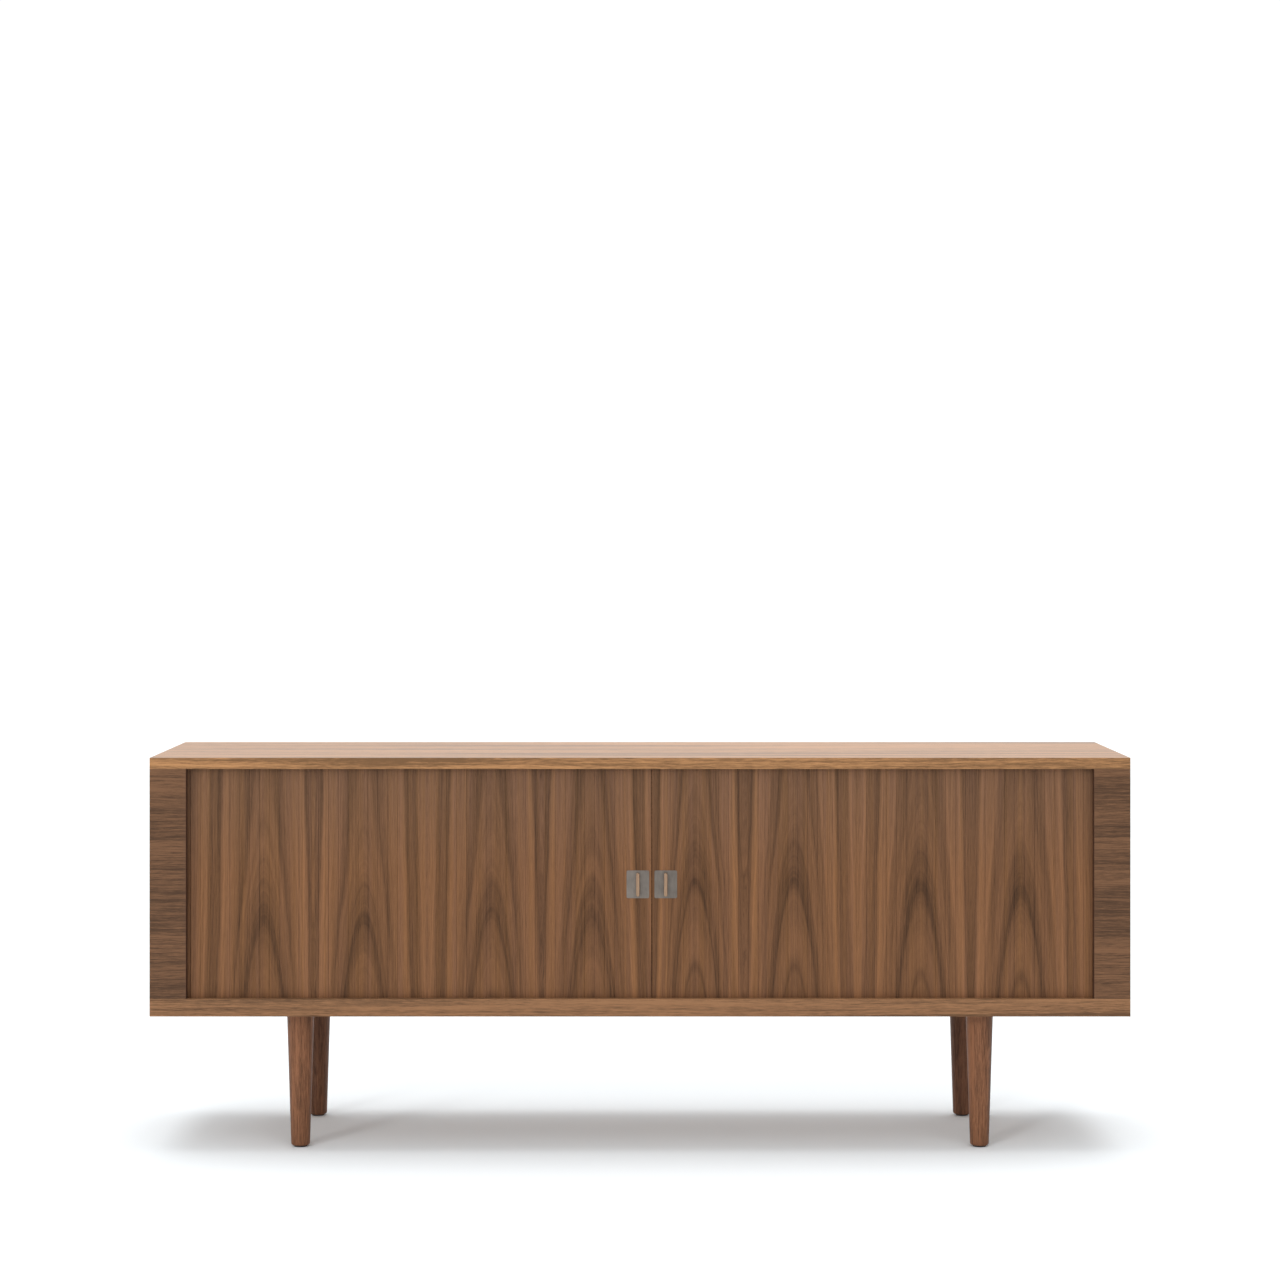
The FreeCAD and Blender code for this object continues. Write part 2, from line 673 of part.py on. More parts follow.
def make_plate_blank(side):
    """The handle plate before the slot for the grip is cut."""
    blank = doc.addObject("PartDesign::Body", f"{side}_plate_blank")
    sketch = new_sketch(blank, "XZ_Plane")
    polygon(sketch, [("-plate_width / 2", "-plate_height / 2"), ("plate_width / 2", "-plate_height / 2"),
                     ("plate_width / 2", "plate_height / 2"), ("-plate_width / 2", "plate_height / 2")])
    block = pad(blank, sketch, "plate_thickness")
    soften(blank, block, "plate_corner", lambda edge: runs_along(edge, "y"))
    place(blank, plate_centre(side), f"plate_thickness - plate_proud - {SLAT_FACE}", HANDLE_LEVEL)
    return blank


def make_door(side):
    """The lead stile with its handle, and the curtain of slats on canvas that follows it."""
    screws = make_handle_screws(side)
    fin = make_fin(side)
    grip = cut(f"{side}_handle_grip", fin, [screws])
    blank = make_plate_blank(side)
    plate = cut(f"{side}_handle_plate", blank, [fin])
    ends = sorted((door_edge(side), lead_edge(side)), key=value)
    board = box(f"{side}_lead_board", ends, (f"-{SLAT_FACE}", f"-{CANVAS_LINE}"), (SLAT_BOTTOM, SLAT_TOP))
    lead = cut(f"{side}_lead_stile", board, [blank, fin, screws])
    return [lead, make_slats(side), make_canvas(side), plate, grip, screws]


def make_track_stops():
    """A block at each end of the groove, above and below, where the curtain comes to rest."""
    line = (f"{CORNER_Y} + {TRACK_INNER}", f"{CORNER_Y} + {TRACK_OUTER}")
    levels = {"low": (f"{FLOOR} - track_depth", FLOOR), "high": (CEILING, f"{CEILING} + track_depth")}
    blocks = []
    for side in SIDES:
        end = f"{CORNER_X} - {back_run(side)}"
        length = mirrored(side, f"{end} - track_stop_length", end)
        for level, z in levels.items():
            blocks.append(box(f"{side}_{level}_stop", length, line, z))
    group = doc.addObject("Part::Compound", "track_stops")
    group.Links = blocks
    return group


# ---- all of it ---------------------------------------------------------------------------------------

def build():
    """Make every piece and return the ones that are pieces of the finished sideboard."""
    fill_sheet()
    dowels = make_dowels()
    back_screws = make_back_screws()
    bolts = make_leg_bolts()
    inserts = make_leg_inserts()
    pieces = [dowels, back_screws, bolts, inserts, make_foot_glides(), make_top_panel(dowels, back_screws),
              make_bottom_panel(dowels, back_screws, bolts, inserts), make_outer_back(back_screws),
              make_inner_back(), make_track_stops()]
    blind = hole_template("blind_pin_hole", "2 * pin_hole_depth")
    through = hole_template("through_pin_hole", "2 * partition_thickness")
    for side in SIDES:
        pieces += [make_end_panel(side, dowels, back_screws), make_front_stile(side)]
        pieces += [make_inner_side(side, blind)] + make_door(side)
    for name, number in PARTITIONS.items():
        pieces.append(make_partition(name, number, through))
    for number in range(1, BAY_COUNT + 1):
        pieces.append(make_shelf(number))
    pieces.append(make_shelf_pins())
    for along, row in ((-1, "front"), (1, "back")):
        for side, across in SIDES.items():
            pieces.append(make_leg(f"leg_{row}_{side}", across, along))
    doc.recompute()
    return pieces


def check(pieces):
    """Stop before anything is written if a step failed or a piece is not a sound solid."""
    for thing in doc.Objects:
        if "Invalid" in thing.State or "Error" in thing.State:
            raise RuntimeError(f"{thing.Label} could not be made: {thing.State}")
    for piece in pieces:
        if piece.Shape.isNull() or not piece.Shape.isValid() or not piece.Shape.Solids:
            raise RuntimeError(f"{piece.Label} is not a sound solid")


def write(pieces):
    os.makedirs("parts", exist_ok=True)
    for piece in pieces:
        piece.Shape.exportStep(f"parts/{piece.Label}.step")
        span = piece.Shape.BoundBox
        ends = (span.XMin, span.XMax, span.YMin, span.YMax, span.ZMin, span.ZMax)
        print(piece.Label, len(piece.Shape.Solids), round(piece.Shape.Volume),
              *(round(end, 2) for end in ends))


finished = build()
check(finished)
write(finished)
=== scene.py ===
import functools
import math

import bmesh
import bpy
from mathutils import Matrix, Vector


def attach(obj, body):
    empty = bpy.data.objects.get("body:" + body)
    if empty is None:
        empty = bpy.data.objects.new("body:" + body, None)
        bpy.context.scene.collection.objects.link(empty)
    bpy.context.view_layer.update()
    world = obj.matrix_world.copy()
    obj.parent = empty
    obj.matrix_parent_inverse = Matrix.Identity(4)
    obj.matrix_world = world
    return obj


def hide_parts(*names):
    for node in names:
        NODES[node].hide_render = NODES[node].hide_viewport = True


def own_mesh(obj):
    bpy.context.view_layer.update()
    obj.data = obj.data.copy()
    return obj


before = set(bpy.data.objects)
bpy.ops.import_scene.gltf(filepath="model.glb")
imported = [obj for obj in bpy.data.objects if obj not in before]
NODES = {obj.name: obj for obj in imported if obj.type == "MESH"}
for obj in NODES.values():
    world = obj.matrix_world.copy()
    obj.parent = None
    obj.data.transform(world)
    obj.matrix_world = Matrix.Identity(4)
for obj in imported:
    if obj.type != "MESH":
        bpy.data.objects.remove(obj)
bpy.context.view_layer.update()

SIDES = {"left": -1, "right": 1}
MM = 0.001

# The curtains' line, as in the CAD: along the front, then round a bend behind the front stile. The bend's
# radius is that of the slats' backs, where the canvas is glued. The left bend mirrors this one.
BEND_CENTRE = (899.5 * MM, -177.5 * MM)
BEND_RADIUS = 41 * MM
STILE_INNER_EDGE = BEND_CENTRE[0]

# An open lead stile ends 0.75 mm past the corner, so slats that begin farther out than this can stay in the
# bend.
PAST_CORNER = BEND_CENTRE[0] + 1 * MM
# The canvas is cut this far before the first of those slats.
CUT_MARGIN = 0.3 * MM
# The gap on each side of that cut, and the distance within which two points of a mesh count as one.
HAIR = 0.01 * MM


def placed(name, data):
    """A new object in the scene that shows the data."""
    thing = bpy.data.objects.new(name, data)
    bpy.context.scene.collection.objects.link(thing)
    return thing


# ---- shader helpers ----------------------------------------------------------------------------------

def opaque(colour):
    """A colour with an alpha of 1; a link is left as it is."""
    return colour if isinstance(colour, bpy.types.NodeSocket) else (*colour, 1.0)


class Shader:
    """A short way to write a material's nodes. What the methods take is a number or another node's output."""

    def __init__(self, name):
        self.material = bpy.data.materials.new(name)
        self.material.use_nodes = True
        self.tree = self.material.node_tree
        self.tree.nodes.clear()
        self.out = self.tree.nodes.new("ShaderNodeOutputMaterial")

    def node(self, kind, **settings):
        made = self.tree.nodes.new(kind)
        for key, setting in settings.items():
            setattr(made, key, setting)
        return made

    def put(self, socket, source):
        if isinstance(source, bpy.types.NodeSocket):
            self.tree.links.new(source, socket)
        elif source is not None:
            socket.default_value = source

    def put_all(self, sockets, sources):
        for socket, source in zip(sockets, sources):
            self.put(socket, source)

    def math(self, operation, a, b=None):
        made = self.node("ShaderNodeMath", operation=operation)
        self.put_all(made.inputs, (a, b))
        return made.outputs[0]

    def add(self, a, b):
        return self.math("ADD", a, b)

    def mul(self, a, b):
        return self.math("MULTIPLY", a, b)

    def total(self, *parts):
        return functools.reduce(self.add, parts)

    def centred(self, noise, size):
        """A noise of 0 to 1 moved to lie round 0, then made as large as the size."""
        return self.mul(self.add(noise, -0.5), size)

    def noise(self, place, fineness, detail=2.0, roughness=0.5, shift=(0, 0, 0)):
        """Noise of 0 to 1 at a place of three values, each multiplied by its fineness and then shifted."""
        combined = self.node("ShaderNodeCombineXYZ")
        self.put_all(combined.inputs, place)
        scaled = self.node("ShaderNodeVectorMath", operation="MULTIPLY_ADD")
        self.put_all(scaled.inputs, (combined.outputs[0], fineness, shift))
        made = self.node("ShaderNodeTexNoise", noise_dimensions="3D")
        self.put(made.inputs["Vector"], scaled.outputs[0])
        made.inputs["Scale"].default_value = 1.0
        made.inputs["Detail"].default_value = detail
        made.inputs["Roughness"].default_value = roughness
        return made.outputs["Fac"]

    def spread(self, source, low, high, to_low=0.0, to_high=1.0, smooth=False):
        """The source moved from one span to another, and kept within it."""
        made = self.node("ShaderNodeMapRange", clamp=True)
        made.interpolation_type = "SMOOTHSTEP" if smooth else "LINEAR"
        self.put_all(made.inputs, (source, low, high, to_low, to_high))
        return made.outputs[0]

    def ramp(self, factor, stops):
        made = self.node("ShaderNodeValToRGB")
        self.put(made.inputs[0], factor)
        ramp = made.color_ramp
        while len(ramp.elements) < len(stops):
            ramp.elements.new(0.5)
        for element, (place, colour) in zip(ramp.elements, stops):
            element.position = place
            element.color = opaque(colour)
        return made.outputs[0]

    def mix(self, factor, a, b, blend="MIX"):
        """Two colours mixed. On this node their sockets come after those for numbers and vectors."""
        made = self.node("ShaderNodeMix", data_type="RGBA", blend_type=blend)
        self.put(made.inputs[0], factor)
        self.put_all(made.inputs[6:8], (opaque(a), opaque(b)))
        return made.outputs[2]

    def curve(self, source, points):
        """A line of straight pieces through the points, level before the first and after the last."""
        all_x, all_y = zip(*points)
        left, right, low, high = min(all_x), max(all_x), min(all_y), max(all_y)
        made = self.node("ShaderNodeFloatCurve")
        self.put(made.inputs["Value"], self.spread(source, left, right))
        line = made.mapping.curves[0]
        while len(line.points) < len(points):
            line.points.new(0.5, 0.5)
        for point, (x, y) in zip(line.points, points):
            point.location = ((x - left) / (right - left), (y - low) / (high - low))
            point.handle_type = "VECTOR"
        made.mapping.update()
        return self.spread(made.outputs[0], 0.0, 1.0, low, high)

    def surface(self, colour, roughness, relief=None, specular=0.5, metallic=0.0):
        """The finished material. The relief is a height and a strength of 0 to 1, and a depth in metres."""
        shader = self.node("ShaderNodeBsdfPrincipled")
        self.put(shader.inputs["Base Color"], opaque(colour))
        self.put(shader.inputs["Roughness"], roughness)
        self.put(shader.inputs["Metallic"], metallic)
        self.put(shader.inputs["Specular IOR Level"], specular)
        if relief:
            height, strength, depth = relief
            bump = self.node("ShaderNodeBump")
            self.put(bump.inputs["Strength"], strength)
            self.put(bump.inputs["Distance"], depth)
            self.put(bump.inputs["Height"], height)
            self.put(shader.inputs["Normal"], bump.outputs[0])
        self.put(self.out.inputs[0], shader.outputs[0])
        return self.material

    def split(self, vector):
        made = self.node("ShaderNodeSeparateXYZ")
        self.put(made.inputs[0], vector)
        return tuple(made.outputs)

    def facing(self):
        """Which way the surface faces, as X, Y and Z."""
        return self.split(self.node("ShaderNodeNewGeometry").outputs["Normal"])

    def position(self):
        """The point's place in the row frame, in metres, as X, Y and Z."""
        return self.split(self.node("ShaderNodeTexCoord").outputs["Object"])

    def flat_position(self):
        """The point's X and Z on the curtain laid flat, in metres, which its UV map keeps."""
        return self.split(self.node("ShaderNodeTexCoord").outputs["UV"])[:2]


# ---- the doors' veneer -------------------------------------------------------------------------------

DOOR = (0.168, 0.0760, 0.0325)
DOOR_GREY = (0.155, 0.0771, 0.0388)
# Between these heights the colour goes over from DOOR to DOOR_GREY.
GREYING = (0.55, 0.76)
DOOR_CONTRAST = 1.45
DOOR_COOL = (0.98, 0.99, 1.10)
DOOR_WARM = (1.01, 1.00, 0.93)

# The cathedral figures of the doors: X of the middle and height of the tip, both in metres.
FIGURES = [(-0.748, 0.458), (-0.549, 0.448), (-0.295, 0.474), (-0.096, 0.468),
           (0.109, 0.537), (0.307, 0.537), (0.558, 0.520), (0.757, 0.514)]
# The lines through them reach just past the front stiles' inner edges, and stay level beyond.
DOOR_END = 0.905
MEETING_LINE = 0.0235
# Half the width in which a line jumps from the left door's veneer to the right door's.
JUMP = 0.001
# The veneer of the right lead stile: where it ends, and how many millimetres its two edges are from the
# middle of a figure.
RIGHT_LEAD_END = 0.078
RIGHT_LEAD_REACH = (103, 33)

# A contour of a figure has one number, in square millimetres: 0 through the tip and negative inside it.
# How much that number grows with the height above the tip, in millimetres.
FIGURE_RISE = [(-240, -2000), (-200, -1750), (-160, -1450), (-120, -1100), (-85, -750), (-50, -420), (0, 0),
               (40, 420), (90, 880), (140, 1250), (220, 1620), (300, 1850)]
# How light the wood is from contour to contour.
FIGURE_TONE = [(-2000, 0.92), (-1650, 0.97), (-1500, 0.78), (-1350, 0.98), (-900, 1.04), (-600, 0.96),
               (-300, 0.88), (-120, 0.78), (0, 0.66), (250, 0.73), (600, 0.84), (1000, 0.94), (1500, 1.00),
               (1900, 0.98), (2200, 0.86), (2500, 0.79), (2800, 0.86), (3300, 0.95), (4000, 1.10),
               (5200, 1.14), (9000, 1.10)]
# How light it is in the stripes beside a figure, by the millimetres from the figure's middle.
STRIPE_TONE = [(40, 0.95), (50, 1.02), (57, 0.90), (66, 1.10), (74, 1.10), (80, 1.14), (85, 1.26), (89, 1.08),
               (93, 0.80), (98, 0.82), (103, 0.90), (110, 0.89), (115, 0.97), (120, 1.20), (127, 1.12),
               (140, 1.00), (155, 0.90), (170, 1.05)]
# The stripes lean towards the middle by this many millimetres a metre, and are at their place at this height.
STRIPE_LEAN = 27
STRIPE_LEVEL = 0.37
# Between these millimetres from the middle, the contours go over to the stripes.
STRIPES_BEGIN = (50, 72)
# Between these contours the fine lines come up from a weak start to their full strength.
LINES_RISE = (-1500, 400)
LINES_LEAST = 0.35
# Added to a contour's number before its root is taken, so that it stays above 0 inside the figure.
ROOT_START = 2300

# How far the contours wander in slow and in quick waves, in millimetres, and where in the noise these waves
# are taken.
SWAY = 6.0
SWAY_PLACE = 3.0
SHIVER = 3.0
SHIVER_PLACE = 7.0
# How much lines, threads and pores each change the tone, and how rough their noise is.
FINE_SHARE = 0.75
FINE_NOISE = {"detail": 4.0, "roughness": 0.75}
# How strong the pores of every wood are, and how deep.
PORE_RELIEF = (0.12, 0.2 * MM)


def leaf_line():
    """For each X, how many millimetres it is from the middle of its figure; the sign changes with each leaf."""
    side = -1
    line = [(-DOOR_END, side * (FIGURES[0][0] + DOOR_END) / MM)]
    for (middle, _), (following, _) in zip(FIGURES, FIGURES[1:]):
        line.append((middle, 0))
        side = -side
        if middle < MEETING_LINE < following:
            near, far = RIGHT_LEAD_REACH
            line.append((MEETING_LINE - JUMP, side * (MEETING_LINE - middle) / MM))
            line.append((MEETING_LINE + JUMP, side * near))
            line.append((RIGHT_LEAD_END, side * far))
        else:
            line.append(((middle + following) / 2, side * (following - middle) / 2 / MM))
    line.append((FIGURES[-1][0], 0))
    line.append((DOOR_END, -side * (DOOR_END - FIGURES[-1][0]) / MM))
    return line


def tip_line():
    """For each X, how high the tip of its figure is."""
    line = []
    for (middle, tip), (following, next_tip) in zip(FIGURES, FIGURES[1:]):
        line.append((middle, tip))
        if middle < MEETING_LINE < following:
            line += [(MEETING_LINE - JUMP, tip), (MEETING_LINE + JUMP, next_tip)]
    return [(-DOOR_END, FIGURES[0][1])] + line + [FIGURES[-1], (DOOR_END, FIGURES[-1][1])]


def tinted(shader, tone, colour):
    """The colour made darker or lighter in proportion to the tone, which is 1 where it stays as it is."""
    scaled = shader.node("ShaderNodeVectorMath", operation="SCALE")
    shader.put(scaled.inputs[0], colour)
    shader.put(scaled.inputs["Scale"], tone)
    return scaled.outputs[0]


def door_wood(name, from_uv):
    """Upright veneer of mirrored leaves, each with a cathedral figure that points up."""
    s = Shader(name)
    if from_uv:
        x, z = s.flat_position()
    else:
        x, _, z = s.position()
    sway = s.noise((x, SWAY_PLACE, z), (6.0, 1.0, 5.0))
    shiver = s.noise((x, SHIVER_PLACE, z), (55.0, 1.0, 14.0))
    leaf = s.total(s.curve(x, leaf_line()), s.centred(sway, SWAY), s.centred(shiver, SHIVER))
    above_tip = s.mul(s.math("SUBTRACT", z, s.curve(x, tip_line())), 1 / MM)
    contour = s.add(s.mul(leaf, leaf), s.curve(above_tip, FIGURE_RISE))
    within = s.curve(contour, FIGURE_TONE)
    reach = s.math("ABSOLUTE", leaf)
    leaning = s.add(reach, s.mul(s.add(z, -STRIPE_LEVEL), STRIPE_LEAN))
    beside = s.curve(leaning, STRIPE_TONE)
    outer = s.spread(reach, *STRIPES_BEGIN, smooth=True)
    tone = s.add(s.mul(within, s.math("SUBTRACT", 1.0, outer)), s.mul(beside, outer))

    ring = s.math("SQRT", s.math("MAXIMUM", s.add(contour, ROOT_START), 0.0))
    lines = s.noise((ring, x, z), (0.26, 1.3, 1.2), **FINE_NOISE)
    threads = s.noise((leaf, x, z), (0.34, 2.0, 1.0), **FINE_NOISE)
    pores = s.noise((leaf, x, z), (0.9, 30.0, 34.0), **FINE_NOISE)
    strength = s.spread(contour, *LINES_RISE, LINES_LEAST, 1.0)
    fine = s.total(s.mul(s.centred(lines, 1.0), strength), s.centred(threads, 1.0), s.centred(pores, 1.0))
    tone = s.add(tone, s.mul(fine, FINE_SHARE))
    tone = s.add(s.mul(s.add(tone, -1.0), DOOR_CONTRAST), 1.0)

    hue = s.noise((leaf, x, z), (0.11, 1.0, 0.8))
    colour = s.mix(s.spread(z, *GREYING), DOOR, DOOR_GREY)
    colour = s.mix(1.0, colour, s.ramp(hue, [(0.3, DOOR_COOL), (0.7, DOOR_WARM)]), "MULTIPLY")
    roughness = s.spread(pores, 0.2, 0.8, 0.60, 0.50)
    return s.surface(tinted(s, tone, colour), roughness, (pores, *PORE_RELIEF), specular=0.15)


# ---- the other materials -----------------------------------------------------------------------------

def shades(middle, spread=0.45):
    """A dark, a middle and a light shade of one colour."""
    return [tuple(share * part for part in middle) for share in (1 - spread, 1, 1 + spread)]


STILE = shades((0.126, 0.0605, 0.0292))
TOP = shades((0.326, 0.162, 0.067))
BASE = shades((0.208, 0.102, 0.0470))
FRONT_LEG = shades((0.188, 0.079, 0.0372))
# The back legs are the front legs' wood, darkened with painted shade as the case above shades them.
BACK_LEG_PAINTED_SHADE = shades((0.137, 0.058, 0.029))
INNER = shades((0.22, 0.120, 0.066))
BEECH = shades((0.55, 0.36, 0.20), 0.25)
OAK = shades((0.305, 0.190, 0.115), 0.3)
# The colour of the painted shade on each grip's flank that faces +X, away from the light.
OAK_PAINTED_FLANK_SHADE = (0.13, 0.070, 0.038)
# The colour of the painted shade in the narrow gap just inside each front stile's inner edge.
PAINTED_GAP_SHADE = (0.05, 0.018, 0.007)
PLATE = shades((0.200, 0.172, 0.150), 0.4)
ZINC = shades((0.5, 0.5, 0.48), 0.4)
CANVAS = [(0.30, 0.255, 0.19), (0.50, 0.44, 0.34)]
NYLON = [(0.012, 0.011, 0.010), (0.03, 0.028, 0.026)]
FLOOR = [(0.84, 0.88, 0.905), (0.86, 0.90, 0.925)]
# How far the grain of a whole board bows, and how far it ripples if nothing else is said.
BOW = 20 * MM
RIPPLE = 1.5 * MM


def grain(shader, across, along, depth, seed):
    """Streaks and pores that run along the grain: broad bands, thin streaks and fine pores, each 0 to 1."""
    def stretched(wide, long, detail, roughness):
        shift = (seed, 0.0, seed * 0.37)
        return shader.noise((across, depth, along), (wide, wide, long), detail, roughness, shift)

    return stretched(22.0, 0.9, 3.0, 0.55), stretched(170.0, 1.7, 4.0, 0.72), stretched(520.0, 26.0, 4.0, 0.8)


def wood_colour(shader, tone, colours):
    """From the dark to the light shade as the tone goes from -0.5 to 0.5."""
    return shader.ramp(shader.add(tone, 0.5), list(zip((0.0, 0.5, 1.0), colours)))


def plain_wood(name, along_axis, colours, seed, ripple=RIPPLE, gloss=0.2, roughness=0.5, edge=None):
    """Solid wood or plain veneer with the grain along one axis; the ripple is how far it wanders, in metres.
    The gloss is that of faces that look up. The edge is how far from the middle plane the piece begins: the
    first two millimetres beyond it are darkened with painted shade, as the gap beside a stile is in shadow."""
    s = Shader(name)
    x, y, z = s.position()
    across, depth, along = {"x": (z, y, x), "y": (z, x, y), "z": (x, y, z)}[along_axis]
    bow = s.noise((across, depth, along), (4.0, 4.0, 1.6))
    wave = s.noise((across, depth, along), (12.0, 12.0, 11.0))
    across = s.total(across, s.centred(bow, BOW), s.centred(wave, 2 * ripple))
    broad, streak, pore = grain(s, across, along, depth, seed)
    tone = s.total(s.centred(broad, 2.6), s.centred(streak, 2.6), s.centred(pore, 3.4))
    colour = wood_colour(s, tone, colours)
    if edge:
        # Painted shade: the first two millimetres past the edge are darkened to that colour.
        beyond = s.spread(s.math("ABSOLUTE", x), edge + 0.2 * MM, edge + 2.2 * MM)
        colour = s.mix(beyond, PAINTED_GAP_SHADE, colour)
    rough = s.spread(pore, 0.2, 0.8, roughness + 0.06, roughness - 0.04)
    upward = s.facing()[2]
    return s.surface(colour, rough, (pore, *PORE_RELIEF), specular=s.spread(upward, 0.3, 0.8, 0.2, gloss))


def grip_wood(name, colours, seed):
    """Oak for the grips, with painted shade that darkens the flank that faces +X."""
    s = Shader(name)
    x, y, z = s.position()
    _, streak, pore = grain(s, x, z, y, seed)
    colour = wood_colour(s, s.add(s.centred(streak, 1.6), s.centred(pore, 2.0)), colours)
    # Painted shade: faces turned towards +X are darkened to that colour.
    colour = s.mix(s.spread(s.facing()[0], 0.10, 0.55), colour, OAK_PAINTED_FLANK_SHADE)
    return s.surface(colour, s.spread(pore, 0.2, 0.8, 0.5, 0.4), (pore, *PORE_RELIEF), specular=0.4)


def steel(name, colours, along):
    """Brushed steel: fine parallel scratches in colour, gloss and relief, and painted light that makes it a
    little lighter towards -X.
    """
    s = Shader(name)
    x, y, z = s.position()
    across, length = (x, z) if along == "z" else (z, x)
    scratch = s.noise((across, y, length), (2600.0, 900.0, 60.0), 3.0, 0.6)
    cloud = s.noise((x, y, z), (40.0, 40.0, 40.0))
    # Painted light: the tone falls from -X to +X, so the left handle plate is lighter than the right one.
    painted_light_slope = s.spread(x, -0.03, 0.07, 0.06, -0.08)
    tone = s.total(s.mul(scratch, 0.55), s.mul(cloud, 0.45), painted_light_slope)
    dark, _, light = colours
    return s.surface(s.ramp(tone, [(0.2, dark), (0.8, light)]), s.spread(scratch, 0.2, 0.8, 0.34, 0.5),
                     (scratch, 0.15, 0.1 * MM), metallic=1.0)


def cloth(name):
    """Plain woven canvas, whose weave repeats every 1.2 mm."""
    s = Shader(name)
    x, z = s.flat_position()
    warp, weft = (s.math("SINE", s.mul(place, 5200.0)) for place in (x, z))
    weave = s.add(s.mul(s.mul(warp, weft), 0.5), 0.5)
    slub = s.noise((x, 0.0, z), (300.0, 1.0, 300.0), 3.0, 0.6)
    tone = s.mul(s.add(weave, slub), 0.5)
    dark, light = CANVAS
    return s.surface(s.ramp(tone, [(0.2, dark), (0.8, light)]), 0.9, (weave, 0.4, 0.3 * MM), specular=0.2)


def nylon(name):
    """Nearly black plastic with a fine speckle."""
    s = Shader(name)
    speck = s.noise(s.position(), (900.0, 900.0, 900.0), 3.0, 0.6)
    dark, light = NYLON
    return s.surface(s.ramp(speck, [(0.3, dark), (0.7, light)]), s.spread(speck, 0.3, 0.7, 0.5, 0.65),
                     (speck, 0.1, 0.2 * MM))


def floor_paint(name):
    """Dull white with faint, wide clouds."""
    s = Shader(name)
    cloud = s.noise(s.position(), (1.2, 1.2, 1.2))
    return s.surface(s.ramp(cloud, list(zip((0.0, 1.0), FLOOR))), 0.9, specular=0.1)


# ---- the CAD nodes -----------------------------------------------------------------------------------

def both(name):
    return [f"{side}_{name}" for side in SIDES]


def dress(material, bevel, *names):
    """Give CAD nodes their material and, where the bevel isn't 0, softly rounded edges."""
    for name in names:
        node = NODES[name]
        node.data.materials.clear()
        node.data.materials.append(material)
        if bevel:
            soft = node.modifiers.new("soft_edges", "BEVEL")
            soft.width = bevel
            soft.segments = 3
            soft.limit_method = "ANGLE"
            soft.angle_limit = math.radians(40)
            soft.harden_normals = True


# The front stiles carry painted shade along their inner edges.
stile_wood = plain_wood("stile_wood", "x", STILE, 31.0, ripple=1.2 * MM, edge=STILE_INNER_EDGE)
lead_wood = door_wood("lead_wood", from_uv=False)
zinc_steel = steel("zinc_steel", ZINC, "x")

dress(plain_wood("top_wood", "x", TOP, 11.0, gloss=0.82, roughness=0.41), 0.7 * MM, "top_panel")
dress(plain_wood("base_wood", "x", BASE, 23.0), 0.7 * MM, "bottom_panel")
dress(stile_wood, 0.6 * MM, *both("front_stile"))
dress(plain_wood("end_wood", "y", STILE, 37.0), 0.6 * MM, *both("end_panel"))
dress(plain_wood("back_wood", "x", STILE, 41.0), 0.4 * MM, "outer_back_panel")
dress(plain_wood("inner_back_wood", "x", INNER, 43.0), 0, "inner_back_panel")
dress(plain_wood("shelf_wood", "x", INNER, 47.0), 0.6 * MM, *(f"shelf_{number}" for number in range(1, 5)))
dress(plain_wood("inner_wood", "z", INNER, 53.0), 0.4 * MM, *both("inner_side"), *both("partition"),
      "centre_partition")
dress(plain_wood("front_leg_wood", "z", FRONT_LEG, 59.0), 0, "leg_front_left", "leg_front_right")
# The back legs' wood carries painted shade.
dress(plain_wood("back_leg_painted_shade_wood", "z", BACK_LEG_PAINTED_SHADE, 60.0), 0, "leg_back_left", "leg_back_right")
dress(plain_wood("peg_wood", "z", BEECH, 61.0), 0, "carcass_dowels", "track_stops")
dress(grip_wood("grip_wood", OAK, 67.0), 0, *both("handle_grip"))
dress(lead_wood, 0.9 * MM, *both("lead_stile"))
dress(steel("plate_steel", PLATE, "z"), 0.3 * MM, *both("handle_plate"))
dress(zinc_steel, 0, "back_screws", "leg_bolts", "leg_inserts", *both("handle_screws"), "shelf_pins")
dress(nylon("glide_nylon"), 0.4 * MM, "foot_glides")


# ---- the curtains ------------------------------------------------------------------------------------

def curtain(side):
    """The slats and canvas of one door, each in two pieces. What lies in the bend stays there while the door
    slides, as a curtain always fills the bend; the rest is taken up between lead stile and corner."""
    sign = SIDES[side]
    wood = door_wood(f"{side}_slat_wood", from_uv=True)
    weave = cloth(f"{side}_canvas_weave")
    straight_slats, bent_slats = divided_slats(NODES[f"{side}_slats"].data)
    cut = min(abs(vertex.co.x) for vertex in bent_slats.vertices) - CUT_MARGIN
    straight_canvas, bent_canvas = divided_canvas(NODES[f"{side}_canvas"].data, sign, cut)
    door = f"{side}_door"
    slats = curtain_piece(side, "curtain_slats", straight_slats, wood, "slats", door)
    canvas = curtain_piece(side, "curtain_canvas", straight_canvas, weave, "canvas", door)
    bend_slats = curtain_piece(side, "bend_slats", bent_slats, wood, "slats", "carcass")
    bend_canvas = curtain_piece(side, "bend_canvas", bent_canvas, weave, "canvas", "carcass")
    for piece in (slats, canvas):
        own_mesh(piece)


def curtain_piece(side, name, mesh, material, stands_for, body):
    """One piece of the curtain, with the place of each point on the flat curtain kept in its UV map."""
    piece = placed(f"{side}_{name}", mesh)
    mesh.materials.clear()
    mesh.materials.append(material)
    keep_flat_place(mesh, SIDES[side])
    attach(piece, body)
    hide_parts(f"{side}_{stands_for}")
    return piece


